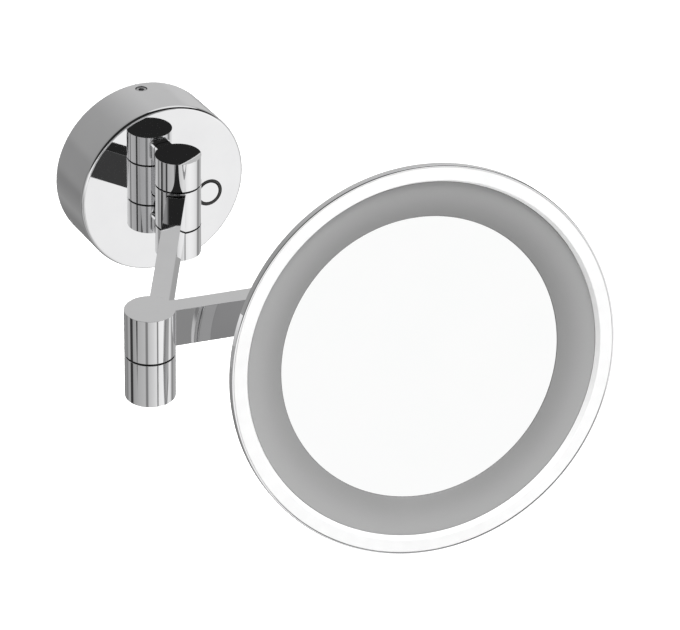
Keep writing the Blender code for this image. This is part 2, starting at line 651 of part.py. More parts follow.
def make_dish():
    """The satin ring that slopes from the light down to the mirror, with a lip around the mirror."""
    lip_end = -(DISH_INNER_DEPTH + DISH_LIP)
    outline = [(DISH_INNER, -DISH_INNER_DEPTH), (DISH_OUTER, -DISH_OUTER_DEPTH),
               (DISH_OUTER, -DISH_OUTER_DEPTH - DISH_SHEET),
               (DISH_INNER + DISH_SHEET, -DISH_INNER_DEPTH - DISH_SHEET),
               (DISH_INNER + DISH_SHEET, lip_end), (DISH_INNER, lip_end)]
    add_turned("reflector_ring", outline, mirror_frame, (0, 0, 0), satin, ROUND_BIG)


def make_mirror():
    """A round magnifying glass mirror, hollow on its front."""
    def depth(radius):
        return MIRROR_EDGE_DEPTH + MIRROR_SAG * (1 - (radius / MIRROR_RADIUS) ** 2)

    rings = [MIRROR_RADIUS * i / MIRROR_RINGS for i in range(MIRROR_RINGS + 1)]
    front = [(radius, -depth(radius)) for radius in rings]
    back = [(radius, -depth(radius) - MIRROR_THICKNESS) for radius in reversed(rings)]
    add_turned("mirror_glass", front + back, mirror_frame, (0, 0, 0), mirror_silver, ROUND_BIG)
    pad_front = -(depth(0) + MIRROR_THICKNESS + PAD_CLEARANCE)
    pad_back = -(COVER_BACK - COVER_SHEET - PAD_CLEARANCE)
    add_rod("mirror_pad", PAD_RADIUS, pad_back, pad_front, mirror_frame, material=black_rubber,
            facets=ROUND_BARREL)


def make_cover_screws(cover, rim):
    head_front = -(RIM_DEPTH + GAP + COVER_SHEET + GAP)
    tip = -(RIM_DEPTH - RIM_WALL)
    for number in range(4):
        place = (*on_circle(COVER_SCREW_CIRCLE, 45 + 90 * number), 0)
        outline = screw_outline(COVER_SCREW_RADIUS, tip, head_front, *COVER_SCREW_HEAD)
        add_turned(f"cover_screw_{number + 1}", outline, mirror_frame, place, steel, FACETS_SCREW)
        for owner in (cover, rim):
            add_boolean(owner, "DIFFERENCE",
                        add_rod("cover_screw_hole", COVER_SCREW_RADIUS + GAP, head_front - CUT, tip + CUT,
                                mirror_frame, place, facets=FACETS_SCREW))


# ---------------------------------------------------------------- the model
clear_scene()
parts = make_collection(PARTS)
cutters = make_collection(CUTTERS)

chrome = make_material("chrome", (0.80, 0.80, 0.81), 0.05, 1.0)
steel = make_material("steel", (0.56, 0.56, 0.57), 0.30, 1.0)
zinc = make_material("zinc", (0.62, 0.63, 0.65), 0.45, 1.0)
satin = make_material("satin", (0.60, 0.60, 0.61), 0.40, 1.0)
mirror_silver = make_material("mirror_silver", (0.95, 0.95, 0.95), 0.0, 1.0)
opal = make_material("opal", (0.95, 0.95, 0.94), 0.35, 0.0, 0.2)
black_plastic = make_material("black_plastic", (0.03, 0.03, 0.03), 0.45, 0.0)
black_rubber = make_material("black_rubber", (0.02, 0.02, 0.02), 0.70, 0.0)
white_plastic = make_material("white_plastic", (0.80, 0.80, 0.78), 0.45, 0.0)
green_board = make_material("green_board", (0.05, 0.25, 0.10), 0.50, 0.0)

base_frame = add_frame("base_frame", None, (0, 0, 0), (90, 0, 0))
button_frame = add_frame("button_frame", base_frame, (*BUTTON_PLACE, BASE_DEPTH))
hinge_frame = add_frame("hinge_frame", None, (0, -BASE_DEPTH - BARREL_OFFSET, 0))
arm_1_frame = add_frame("arm_1_frame", hinge_frame, (0, 0, 0), (0, 0, ARM_1_ANGLE - 90))
elbow_mark = add_frame("elbow_mark", arm_1_frame, (ARM_1_LENGTH, 0, 0))
arm_2_frame = add_frame("arm_2_frame", elbow_mark, (0, 0, 0), (0, 0, ARM_2_ANGLE - ARM_1_ANGLE))
head_mark = add_frame("head_mark", arm_2_frame, (ARM_2_LENGTH, 0, 0))
head_frame = add_frame("head_frame", head_mark, (0, 0, 0), (0, 0, HEAD_ANGLE - ARM_2_ANGLE))
tilt_frame = add_frame("tilt_frame", head_frame, (TILT_OFFSET, 0, 0), (0, -HEAD_TILT, 0))
mirror_frame = add_frame("mirror_frame", tilt_frame, (MIRROR_OFFSET, 0, 0), (0, 90, 0))

make_wall_plate(base_frame)
make_grommet(base_frame)
make_driver(base_frame)
make_terminal_block(base_frame)
make_base_cup(base_frame)
make_button(base_frame)

make_lug("upper_lug", 1)
make_lug("lower_lug", -1)
make_lug_screw("lug_screw_upper", base_frame, 1, 0)
make_lug_screw("lug_screw_lower", base_frame, -1, STEM_SCREW_BORE)
make_pin_set("base", hinge_frame, -LUG_TOP, LUG_TOP - BLIND_TOP - GAP)
add_seam_washer("base_washer_upper", hinge_frame, SECTION_HALF + SEAM / 2)
add_seam_washer("base_washer_lower", hinge_frame, -SECTION_HALF - SEAM / 2)

make_arm_1()
make_pin_set("elbow", arm_2_frame, -SECTION_HALF, UPPER_SECTION_TOP - BLIND_TOP - GAP)
add_seam_washer("elbow_washer", arm_2_frame, SECTION_HALF + SEAM / 2)
make_arm_2()
make_knuckle()
make_pin_set("head", head_mark, -SECTION_HALF, UPPER_SECTION_TOP - BLIND_TOP - GAP)
add_seam_washer("head_washer", head_mark, SECTION_HALF + SEAM / 2)

back_cover = make_back_cover()
make_bracket()
make_tilt_bolt()
head_rim = make_rim()
make_light()
make_dish()
make_mirror()
make_cover_screws(back_cover, head_rim)
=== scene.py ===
"""Looks for the extendable shaving mirror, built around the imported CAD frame."""

import json
import math

import bmesh
import bpy
from mathutils import Matrix, Vector


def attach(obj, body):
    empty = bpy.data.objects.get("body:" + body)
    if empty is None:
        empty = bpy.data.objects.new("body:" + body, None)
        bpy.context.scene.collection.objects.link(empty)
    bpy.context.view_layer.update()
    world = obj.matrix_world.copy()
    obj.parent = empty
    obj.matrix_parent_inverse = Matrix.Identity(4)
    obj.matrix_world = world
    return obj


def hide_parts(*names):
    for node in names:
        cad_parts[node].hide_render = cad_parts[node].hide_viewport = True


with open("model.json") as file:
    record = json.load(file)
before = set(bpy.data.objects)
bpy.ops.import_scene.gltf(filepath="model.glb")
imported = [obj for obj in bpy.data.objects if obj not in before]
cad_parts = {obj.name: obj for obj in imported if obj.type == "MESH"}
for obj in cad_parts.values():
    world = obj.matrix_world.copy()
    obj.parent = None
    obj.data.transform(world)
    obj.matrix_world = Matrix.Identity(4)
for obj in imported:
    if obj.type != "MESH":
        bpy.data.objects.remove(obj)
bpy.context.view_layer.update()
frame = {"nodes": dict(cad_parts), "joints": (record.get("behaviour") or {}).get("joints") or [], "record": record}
for plain in list(bpy.data.materials):
    bpy.data.materials.remove(plain)

# ---------------------------------------------------------------- sizes, in metres, as in the CAD
MM = 0.001
GAP = 0.3 * MM
BASE_RADIUS, BASE_DEPTH, BASE_FILLET = 49 * MM, 34 * MM, 2 * MM
CUP_INNER, CUP_CEILING, CUP_STANDOFF = 46.5 * MM, 31 * MM, 0.5 * MM
PLATE_RADIUS, PLATE_THICKNESS = 46.2 * MM, 2.5 * MM
PLATE_RIM_OUTER, PLATE_RIM_INNER, PLATE_RIM_DEPTH = 44 * MM, 41.5 * MM, 12 * MM
WALL_SCREW_CIRCLE, WALL_SCREW_HOLE, WALL_SCREW_ANGLES = 30 * MM, 2.75 * MM, (30, 150, 270)
CABLE_HOLE, CABLE_HOLE_RADIUS = (12 * MM, -28 * MM), 5.5 * MM
GRUB_RADIUS, GRUB_DEPTH, GRUB_ANGLES = 3.0 * MM, 7 * MM, (90, 210, 330)
BUTTON_PLACE, BUTTON_RADIUS = (27.8 * MM, -8.8 * MM), 6.1 * MM
BEZEL_RADIUS, BEZEL_BORE = 8 * MM, 6.4 * MM
BARREL_RADIUS, SECTION_HALF, SEAM = 12.5 * MM, 11.75 * MM, 1 * MM
LUG_TOP, UPPER_TOP = 29.5 * MM, 36.5 * MM
STEM_WIDTH, STEM_HEIGHT, STEM_TOP, STEM_REACH = 11 * MM, 13 * MM, 28.5 * MM, 17.2 * MM
EYE_RADIUS, PIN_MOUTH, PLUG_RADIUS, PLUG_HEIGHT = 5.3 * MM, 8.3 * MM, 8 * MM, 2.2 * MM
MOUTH_HEIGHT, BLIND_TOP = 5.6 * MM, 4.5 * MM
WASHER, WASHER_RADIUS = 0.4 * MM, 10.8 * MM
BAR_THICKNESS, BAR_HEIGHT, ARM_1_BAR_BOTTOM = 10 * MM, 20 * MM, -9 * MM
TONGUE_WIDTH, TONGUE_RADIUS = 10 * MM, 6 * MM
EAR_INSIDE, EAR_THICKNESS, EAR_RADIUS = 6 * MM, 4 * MM, 5.5 * MM
BOLT_RADIUS, BOLT_HEAD, BOLT_HEAD_HEIGHT, NUT_HEIGHT = 1.8 * MM, 3.6 * MM, 2.5 * MM, 3 * MM
BRACKET_HEIGHT, BRACKET_WIDTH, BRACKET_BACK, BRACKET_FRONT = 30 * MM, 36 * MM, 4 * MM, 6.5 * MM
BRACKET_SCREW_UP, BRACKET_SCREW_ACROSS = 10.5 * MM, 14.5 * MM
BRACKET_SCREW_RADIUS, BRACKET_SCREW_HEAD, BRACKET_SCREW_HEIGHT = 1.5 * MM, 2.7 * MM, 1.6 * MM
HEAD_TILT, MIRROR_OFFSET = 12.6, 22.4 * MM
HEAD_RADIUS, RIM_WALL, RIM_DEPTH, RIM_FLANGE_INNER = 100 * MM, 1.2 * MM, 5 * MM, 92 * MM
LIGHT_FRONT, LIGHT_THICKNESS, LIGHT_SHOULDER, LIGHT_SKIRT = 0.15 * MM, 1.95 * MM, 92.4 * MM, 3.5 * MM
DISH_OUTER, DISH_OUTER_DEPTH, DISH_INNER, DISH_INNER_DEPTH = 91 * MM, 3.4 * MM, 72.6 * MM, 8.4 * MM
DISH_SHEET, DISH_LIP, DISH_STEPS = 1 * MM, 2.8 * MM, 16
MIRROR_RADIUS, MIRROR_EDGE_DEPTH, MIRROR_SAG, MIRROR_GLASS = 72.5 * MM, 8.6 * MM, 2.2 * MM, 2.5 * MM
COVER_OUTER, COVER_FLAT, COVER_BACK, COVER_SHEET = 98.4 * MM, 70 * MM, 15.6 * MM, 1.2 * MM
COVER_SHOULDER, COVER_SCREW_CIRCLE = 91.5 * MM, 95.4 * MM
COVER_SCREW_RADIUS, COVER_SCREW_HEAD, COVER_SCREW_HEIGHT = 1.25 * MM, 2.4 * MM, 1.3 * MM

# Facets round the mirror's rings, the base and cover, the barrels, and the screws.
FINEST, FINE, MEDIUM, SMALL = 256, 192, 128, 48
SHARP_ANGLE = math.radians(35)


# ---------------------------------------------------------------- frames
def joint(name):
    return next(row for row in frame["joints"] if row["name"] == name)


def joint_place(name):
    return Vector(joint(name)["pos_m"])


def frame_along(origin, direction):
    """A frame with +Z up and +X along a level direction."""
    turn = math.atan2(direction.y, direction.x)
    return Matrix.Translation(origin) @ Matrix.Rotation(turn, 4, "Z")


def level(point):
    return Vector((point.x, point.y, 0))


base_axis = level(joint_place("base_swivel"))
elbow_axis = level(joint_place("elbow_swivel"))
head_axis = level(joint_place("head_swivel"))
tilt_axis = level(joint_place("head_tilt"))

BASE = Matrix(((1, 0, 0, 0), (0, 0, -1, 0), (0, 1, 0, 0), (0, 0, 0, 1)))
HINGE = Matrix.Translation(base_axis)
ARM_1 = frame_along(base_axis, elbow_axis - base_axis)
ELBOW_1 = frame_along(elbow_axis, elbow_axis - base_axis)
ARM_2 = frame_along(elbow_axis, head_axis - elbow_axis)
HEAD_2 = frame_along(head_axis, head_axis - elbow_axis)
HEAD = frame_along(head_axis, tilt_axis - head_axis)
TILT = frame_along(tilt_axis, tilt_axis - head_axis) @ Matrix.Rotation(-math.radians(HEAD_TILT), 4, "Y")
MIRROR = TILT @ Matrix.Translation((MIRROR_OFFSET, 0, 0)) @ Matrix.Rotation(math.pi / 2, 4, "Y")
ARM_1_LENGTH = (elbow_axis - base_axis).length
ARM_2_LENGTH = (head_axis - elbow_axis).length
TILT_OFFSET = (tilt_axis - head_axis).length


def shifted(matrix, place):
    return matrix @ Matrix.Translation(place)


def rotated(matrix, axis, angle):
    return matrix @ Matrix.Rotation(math.radians(angle), 4, axis)


def on_circle(radius, angle):
    return radius * math.cos(math.radians(angle)), radius * math.sin(math.radians(angle))


# ---------------------------------------------------------------- mesh helpers
def new_object(name, mesh, matrix):
    obj = bpy.data.objects.new(name, mesh)
    bpy.context.scene.collection.objects.link(obj)
    obj.matrix_world = matrix
    return obj


def rounded(corners, steps=6):
    """A closed outline with its corners rounded: each corner is (radius or x, height, rounding)."""
    points = []
    for index, (x, y, rounding) in enumerate(corners):
        corner = Vector((x, y))
        if not rounding:
            points.append(corner)
            continue
        before = (Vector(corners[index - 1][:2]) - corner).normalized()
        after = (Vector(corners[(index + 1) % len(corners)][:2]) - corner).normalized()
        half = before.angle(after) / 2
        centre = corner + (before + after).normalized() * rounding / math.sin(half)
        start = corner + before * rounding / math.tan(half) - centre
        end = corner + after * rounding / math.tan(half) - centre
        sweep = math.atan2(start.x * end.y - start.y * end.x, start.dot(end))
        count = max(2, round(steps * abs(sweep) / (math.pi / 2)))
        for step in range(count + 1):
            turn = Matrix.Rotation(sweep * step / count, 2)
            points.append(centre + turn @ start)
    return points


def turned(name, outline, matrix, facets=MEDIUM):
    """A turned solid about the frame's Z from a closed outline of (radius, height)."""
    shape = bmesh.new()
    rings = []
    for radius, height in outline:
        if radius < 1e-7:
            rings.append([shape.verts.new((0, 0, height))])
            continue
        rings.append([shape.verts.new((radius * math.cos(2 * math.pi * k / facets),
                                       radius * math.sin(2 * math.pi * k / facets), height))
                      for k in range(facets)])
    for one, other in zip(rings, rings[1:] + rings[:1]):
        if len(one) == 1 and len(other) == 1:
            continue
        if len(one) == 1 or len(other) == 1:
            shape.faces.new(one if len(other) == 1 else other)
            continue
        for k in range(facets):
            after = (k + 1) % facets
            shape.faces.new((one[k], one[after], other[after], other[k]))
    for lonely in [vert for vert in shape.verts if not vert.link_faces]:
        shape.verts.remove(lonely)
    bmesh.ops.recalc_face_normals(shape, faces=shape.faces)
    mesh = bpy.data.meshes.new(name)
    shape.to_mesh(mesh)
    shape.free()
    return new_object(name, mesh, matrix)


def rod(name, radius, bottom, top, matrix, facets=MEDIUM):
    return turned(name, [(0, bottom), (radius, bottom), (radius, top), (0, top)], matrix, facets)


def block(name, size, centre, matrix):
    shape = bmesh.new()
    bmesh.ops.create_cube(shape, size=1, matrix=Matrix.Translation(centre) @ Matrix.Diagonal((*size, 1)))
    mesh = bpy.data.meshes.new(name)
    shape.to_mesh(mesh)
    shape.free()
    return new_object(name, mesh, matrix)


def boolean(obj, operation, *others):
    """Applies a boolean at once and removes the other shapes."""
    for other in others:
        step = obj.modifiers.new("step", "BOOLEAN")
        step.operation = operation
        step.solver = "EXACT"
        step.object = other
    bpy.context.view_layer.update()
    mesh = bpy.data.meshes.new_from_object(obj.evaluated_get(bpy.context.evaluated_depsgraph_get()))
    obj.modifiers.clear()
    obj.data = mesh
    for other in others:
        bpy.data.objects.remove(other)
    shape = bmesh.new()
    shape.from_mesh(mesh)
    bmesh.ops.remove_doubles(shape, verts=shape.verts, dist=0.002 * MM)
    bmesh.ops.dissolve_limit(shape, angle_limit=math.radians(0.3), verts=shape.verts, edges=shape.edges,
                             delimit=set())
    shape.to_mesh(mesh)
    shape.free()
    return obj


def soften(obj, width, segments=3, keep=lambda middle, edge: True, least=30):
    """Rounds the sharp edges whose middle point, in the piece's own frame, passes the test."""
    shape = bmesh.new()
    shape.from_mesh(obj.data)
    chosen = []
    for edge in shape.edges:
        if len(edge.link_faces) != 2 or edge.calc_face_angle() < math.radians(least):
            continue
        if keep((edge.verts[0].co + edge.verts[1].co) / 2, edge):
            chosen.append(edge)
    bmesh.ops.bevel(shape, geom=chosen, offset=width, offset_type="OFFSET", segments=segments, profile=0.5,
                    affect="EDGES", clamp_overlap=True)
    shape.to_mesh(obj.data)
    shape.free()
    return obj


def piece(obj, material, body, *replaced, slot=None):
    """Shading, material, body and the CAD nodes that the piece stands for."""
    obj.data.materials.clear()
    obj.data.materials.append(material)
    obj.data.shade_smooth()
    obj.data.set_sharp_from_angle(angle=SHARP_ANGLE)
    normals = obj.modifiers.new("normals", "WEIGHTED_NORMAL")
    normals.keep_sharp = True
    normals.weight = 100
    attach(obj, body)
    if replaced:
        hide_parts(*replaced)
    return obj


# ---------------------------------------------------------------- node helpers
class Tree:
    """Short calls for building a node tree."""

    def __init__(self, tree):
        self.tree = tree
        self.tree.nodes.clear()

    def add(self, kind, inputs=(), **settings):
        node = self.tree.nodes.new(kind)
        for key, value in settings.items():
            setattr(node, key, value)
        for key, value in dict(inputs).items():
            if isinstance(value, bpy.types.NodeSocket):
                self.tree.links.new(value, node.inputs[key])
            else:
                node.inputs[key].default_value = value
        return node

    def math(self, operation, *values):
        node = self.add("ShaderNodeMath", operation=operation)
        for index, value in enumerate(values):
            if isinstance(value, bpy.types.NodeSocket):
                self.tree.links.new(value, node.inputs[index])
            else:
                node.inputs[index].default_value = value
        return node.outputs[0]

    def range(self, value, low, high, out_low, out_high, smooth=False):
        node = self.add("ShaderNodeMapRange", {"Value": value, "From Min": low, "From Max": high,
                                               "To Min": out_low, "To Max": out_high})
        node.interpolation_type = "SMOOTHSTEP" if smooth else "LINEAR"
        return node.outputs[0]

    def ramp(self, value, stops, interpolation="LINEAR"):
        node = self.add("ShaderNodeValToRGB", {"Fac": value})
        node.color_ramp.interpolation = interpolation
        elements = node.color_ramp.elements
        while len(elements) < len(stops):
            elements.new(0.5)
        for element, (place, colour) in zip(elements, stops):
            element.position = place
            element.color = colour if isinstance(colour, tuple) else (colour, colour, colour, 1)
        return node.outputs["Color"]

    def noise(self, where, scale, detail=3, roughness=0.55):
        return self.add("ShaderNodeTexNoise", {"Vector": where, "Scale": scale, "Detail": detail,
                                               "Roughness": roughness}).outputs["Fac"]

    def stretched(self, where, scale):
        return self.add("ShaderNodeMapping", {"Vector": where, "Scale": scale}).outputs["Vector"]

    def bump(self, height, distance, strength=1.0, normal=None):
        inputs = {"Height": height, "Distance": distance, "Strength": strength}
        if normal:
            inputs["Normal"] = normal
        return self.add("ShaderNodeBump", inputs).outputs["Normal"]


def new_material(name):
    material = bpy.data.materials.new(name)
    material.use_nodes = True
    return material, Tree(material.node_tree)


def close_material(tree, **inputs):
    """The shader's sockets by name, with underscores for spaces, joined to the output."""
    sockets = {key.replace("_", " "): value for key, value in inputs.items()}
    shader = tree.add("ShaderNodeBsdfPrincipled", sockets)
    tree.add("ShaderNodeOutputMaterial", {"Surface": shader.outputs[0]})
    return shader


def object_place(tree):
    return tree.add("ShaderNodeTexCoord").outputs["Object"]


def polar(tree, where):
    """Radius and angle about the piece's own Z."""
    split = tree.add("ShaderNodeSeparateXYZ", {"Vector": where})
    x, y, z = split.outputs
    radius = tree.math("SQRT", tree.math("ADD", tree.math("MULTIPLY", x, x), tree.math("MULTIPLY", y, y)))
    return radius, tree.math("ARCTAN2", y, x), z


def colour(value, tint=(1, 1, 1)):
    return (value * tint[0], value * tint[1], value * tint[2], 1)


# ---------------------------------------------------------------- materials
def make_chrome():
    """Mirror-polished plate: almost no roughness, with faint wiping marks and hairline scratches."""
    material, tree = new_material("chrome")
    where = object_place(tree)
    smudges = tree.noise(where, 45, 4)
    hairlines = tree.noise(tree.stretched(where, (900, 900, 60)), 1.0, 2)
    scratch = tree.range(hairlines, 0.66, 0.74, 0.0, 1.0)
    rough = tree.math("ADD", tree.range(smudges, 0.35, 0.75, 0.018, 0.050),
                      tree.math("MULTIPLY", scratch, 0.05))
    tint = tree.ramp(smudges, [(0.3, colour(0.90, (1, 1, 1.005))), (0.8, colour(0.86, (1, 1, 1.01)))])
    soft = tree.bump(tree.noise(where, 18, 2), 0.02 * MM)
    close_material(tree, Base_Color=tint, Metallic=1.0, Roughness=rough,
                   Normal=tree.bump(scratch, 0.001 * MM, 0.3, soft))
    return material


def make_turned_metal(name, value, tint, rough, ring_scale):
    """Machined metal with fine turning marks around its own axis."""
    material, tree = new_material(name)
    where = object_place(tree)
    radius, angle, height = polar(tree, where)
    marks_at = tree.add("ShaderNodeCombineXYZ", {"X": tree.math("MULTIPLY", radius, ring_scale),
                                                 "Y": tree.math("MULTIPLY", height, ring_scale),
                                                 "Z": tree.math("MULTIPLY", angle, 0.4)}).outputs[0]
    marks = tree.noise(marks_at, 1.0, 3)
    blotches = tree.noise(where, 160, 3)
    both = tree.math("ADD", tree.math("MULTIPLY", marks, 0.5), tree.math("MULTIPLY", blotches, 0.5))
    shade = tree.ramp(both, [(0.3, colour(value * 0.82, tint)), (0.7, colour(value, tint))])
    close_material(tree, Base_Color=shade, Metallic=1.0,
                   Roughness=tree.range(blotches, 0.3, 0.7, rough * 0.8, rough * 1.25),
                   Normal=tree.bump(marks, 0.01 * MM, 0.5))
    return material


def make_zinc():
    """Zinc plate on pressed steel: a faint mottled bloom with rubbed spots."""
    material, tree = new_material("zinc")
    where = object_place(tree)
    cells = tree.add("ShaderNodeTexVoronoi", {"Vector": where, "Scale": 420}).outputs["Color"]
    grey = tree.add("ShaderNodeSeparateColor", {"Color": cells}).outputs[0]
    bloom = tree.noise(where, 60, 5)
    mixed = tree.math("ADD", tree.math("MULTIPLY", grey, 0.35), tree.math("MULTIPLY", bloom, 0.65))
    shade = tree.ramp(mixed, [(0.25, (0.44, 0.46, 0.49, 1)), (0.6, (0.62, 0.63, 0.65, 1)),
                              (0.8, (0.70, 0.70, 0.69, 1))])
    close_material(tree, Base_Color=shade, Metallic=1.0, Roughness=tree.range(mixed, 0.2, 0.8, 0.32, 0.55),
                   Normal=tree.bump(grey, 0.02 * MM, 0.4))
    return material


def make_satin():
    """Fine bead-blasted metal ring that scatters light, with painted shade: darker next to the mirror's recess and
    paler towards the lit outer edge.
    """
    material, tree = new_material("satin")
    where = object_place(tree)
    grain = tree.noise(where, 2600, 2)
    cloud = tree.noise(where, 22, 3)
    radius, angle, height = polar(tree, where)
    # Painted shade and light: the colour darkens towards the recessed mirror and pales towards the light ring.
    painted_shade_and_light = tree.range(radius, DISH_INNER, DISH_OUTER, 0.0, 0.7, smooth=True)
    grainy = tree.math("ADD", tree.math("MULTIPLY", grain, 0.12), tree.math("MULTIPLY", cloud, 0.18))
    shade = tree.ramp(tree.math("ADD", painted_shade_and_light, grainy), [(0.05, colour(0.20)), (0.95, colour(0.285))])
    close_material(tree, Base_Color=shade, Metallic=0.25, Roughness=tree.range(cloud, 0.3, 0.7, 0.42, 0.52),
                   Normal=tree.bump(grain, 0.012 * MM, 0.6))
    return material


def make_mirror_silver():
    """Silvered glass: clear, with the faintest dust in its roughness and a coat for the glass's face."""
    material, tree = new_material("mirror_silver")
    where = object_place(tree)
    film = tree.noise(where, 30, 5)
    specks = tree.noise(where, 1400, 1)
    dust = tree.range(specks, 0.74, 0.80, 0.0, 0.05)
    shade = tree.ramp(film, [(0.3, colour(0.97)), (0.8, (0.955, 0.965, 0.96, 1))])
    close_material(tree, Base_Color=shade, Metallic=1.0,
                   Roughness=tree.math("ADD", tree.range(film, 0.4, 0.8, 0.004, 0.016), dust),
                   Coat_Weight=0.3, Coat_Roughness=0.01, Coat_IOR=1.5)
    return material


def make_opal():
    """Opal acrylic, lit from behind: brightest near its inner edge, over a fine matt grain."""
    material, tree = new_material("opal")
    where = object_place(tree)
    radius, angle, height = polar(tree, where)
    near_edge, off_edge = LIGHT_SHOULDER - 0.6 * MM, LIGHT_SHOULDER + 0.6 * MM
    inner_glow = tree.range(radius, near_edge, off_edge, 0.06, 0.0, smooth=True)
    lamps = tree.range(tree.math("COSINE", tree.math("MULTIPLY", angle, 60)), -1, 1, 0.0, 0.012)
    cloud = tree.noise(where, 25, 3)
    glow = tree.math("ADD", tree.math("ADD", tree.range(cloud, 0.3, 0.7, 0.24, 0.27), lamps), inner_glow)
    grain = tree.noise(where, 1800, 2)
    close_material(tree, Base_Color=tree.ramp(cloud, [(0.3, colour(0.385)), (0.7, colour(0.405))]),
                   Roughness=tree.range(grain, 0.3, 0.7, 0.28, 0.38), Emission_Color=(1, 1, 1, 1),
                   Emission_Strength=glow, Normal=tree.bump(grain, 0.004 * MM, 0.3))
    return material


def make_moulded(name, dark, light, rough, grain_scale, grain_depth):
    """Moulded plastic or rubber with a fine grain and slightly uneven gloss."""
    material, tree = new_material(name)
    where = object_place(tree)
    grain = tree.noise(where, grain_scale, 3)
    cloud = tree.noise(where, 70, 3)
    close_material(tree, Base_Color=tree.ramp(cloud, [(0.3, dark), (0.7, light)]),
                   Roughness=tree.range(cloud, 0.3, 0.7, rough * 0.85, rough * 1.1),
                   Normal=tree.bump(grain, grain_depth, 0.5))
    return material


def make_board():
    """Circuit board: green lacquer over copper tracks, with tinned pads."""
    material, tree = new_material("green_board")
    where = object_place(tree)
    tracks = tree.add("ShaderNodeTexBrick", {"Vector": tree.stretched(where, (300, 300, 300)), "Scale": 1.0,
                                             "Mortar Size": 0.05, "Color1": (0.02, 0.16, 0.06, 1),
                                             "Color2": (0.03, 0.21, 0.08, 1),
                                             "Mortar": (0.10, 0.34, 0.12, 1)})
    pads = tree.add("ShaderNodeTexVoronoi", {"Vector": where, "Scale": 260}).outputs["Distance"]
    pad = tree.range(pads, 0.16, 0.13, 0.0, 1.0)
    mix = tree.add("ShaderNodeMix", data_type="RGBA")
    tree.tree.links.new(pad, mix.inputs[0])
    tree.tree.links.new(tracks.outputs["Color"], mix.inputs[6])
    mix.inputs[7].default_value = (0.62, 0.60, 0.55, 1)
    close_material(tree, Base_Color=mix.outputs[2], Metallic=tree.math("MULTIPLY", pad, 0.9),
                   Roughness=tree.range(tree.noise(where, 90), 0.3, 0.7, 0.28, 0.42),
                   Normal=tree.bump(tracks.outputs["Fac"], 0.02 * MM, 0.4))
    return material


chrome = make_chrome()
steel = make_turned_metal("steel", 0.62, (1, 1, 1.01), 0.26, 5200)
zinc = make_zinc()
satin = make_satin()
mirror_silver = make_mirror_silver()
opal = make_opal()
black_plastic = make_moulded("black_plastic", (0.020, 0.020, 0.021, 1), (0.034, 0.034, 0.035, 1), 0.42, 1500,
                             0.01 * MM)
black_rubber = make_moulded("black_rubber", (0.012, 0.012, 0.012, 1), (0.024, 0.023, 0.022, 1), 0.66, 2200,
                            0.02 * MM)
white_plastic = make_moulded("white_plastic", (0.74, 0.73, 0.70, 1), (0.82, 0.81, 0.78, 1), 0.40, 1500,
                             0.01 * MM)
green_board = make_board()
by_slot = {material.name: material for material in (chrome, steel, zinc, satin, mirror_silver, opal,
                                                    black_plastic, black_rubber, white_plastic, green_board)}

for row in frame["record"]["subparts"]:
    node = frame["nodes"][row["node"]]
    node.data.materials.clear()
    node.data.materials.append(by_slot[row["material_slot"]])


# ---------------------------------------------------------------- base
def radial(angle, distance_from_wall):
    """A frame with Z pointing away from the base's axis."""
    return shifted(BASE, (0, 0, distance_from_wall)) @ Matrix.Rotation(math.radians(angle), 4, "Z") \
        @ Matrix.Rotation(math.pi / 2, 4, "Y")


def make_wall_plate():
    outline = rounded([(0, PLATE_THICKNESS, 0), (PLATE_RIM_INNER, PLATE_THICKNESS, 0.6 * MM),
                       (PLATE_RIM_INNER, PLATE_RIM_DEPTH, 0.4 * MM),
                       (PLATE_RIM_OUTER, PLATE_RIM_DEPTH, 0.4 * MM),
                       (PLATE_RIM_OUTER, PLATE_THICKNESS, 0), (PLATE_RADIUS, PLATE_THICKNESS, 0.4 * MM),
                       (PLATE_RADIUS, 0, 0.3 * MM), (0, 0, 0)], 3)
    plate = turned("visual_wall_plate", outline, BASE, FINE)
    holes = [rod("hole", CABLE_HOLE_RADIUS, -1 * MM, 4 * MM, shifted(BASE, (*CABLE_HOLE, 0)), 64)]
    for angle in WALL_SCREW_ANGLES:
        place = (*on_circle(WALL_SCREW_CIRCLE, angle), 0)
        holes.append(rod("hole", WALL_SCREW_HOLE, -1 * MM, 4 * MM, shifted(BASE, place), 48))
    boolean(plate, "DIFFERENCE", *holes)
    soften(plate, 0.25 * MM, 2, lambda middle, edge: middle.xy.length < PLATE_RIM_INNER - 2 * MM)
    piece(plate, zinc, "base", "wall_plate")


def make_base_cup():
    outline = rounded([(0, BASE_DEPTH, 0), (BASE_RADIUS, BASE_DEPTH, BASE_FILLET),
                       (BASE_RADIUS, CUP_STANDOFF, 0.3 * MM), (CUP_INNER, CUP_STANDOFF, 0.3 * MM),
                       (CUP_INNER, CUP_CEILING, 1.2 * MM), (0, CUP_CEILING, 0)], 12)
    cup = turned("visual_base_cup", outline, BASE, FINE)
    holes = [rod("hole", BEZEL_RADIUS, CUP_CEILING - 1 * MM, BASE_DEPTH + 1 * MM,
                 shifted(BASE, (*BUTTON_PLACE, 0)), 96)]
    for side in (-1, 1):
        place = (0, side * (STEM_TOP - STEM_HEIGHT / 2), 0)
        holes.append(rod("hole", 3.3 * MM, CUP_CEILING - 1 * MM, BASE_DEPTH + 1 * MM, shifted(BASE, place),
                         SMALL))
    for angle in GRUB_ANGLES:
        holes.append(rod("hole", GRUB_RADIUS + GAP, CUP_INNER - 2 * MM, BASE_RADIUS + 1 * MM,
                         radial(angle, GRUB_DEPTH), 64))
    boolean(cup, "DIFFERENCE", *holes)
    soften(cup, 0.4 * MM, 4,
           lambda middle, edge: middle.xy.length > BASE_RADIUS - 0.2 * MM and middle.z > 2 * MM)
    piece(cup, chrome, "base", "base_cup")
    for number, angle in enumerate(GRUB_ANGLES, 1):
        make_grub_screw(f"grub_screw_{number}", angle)


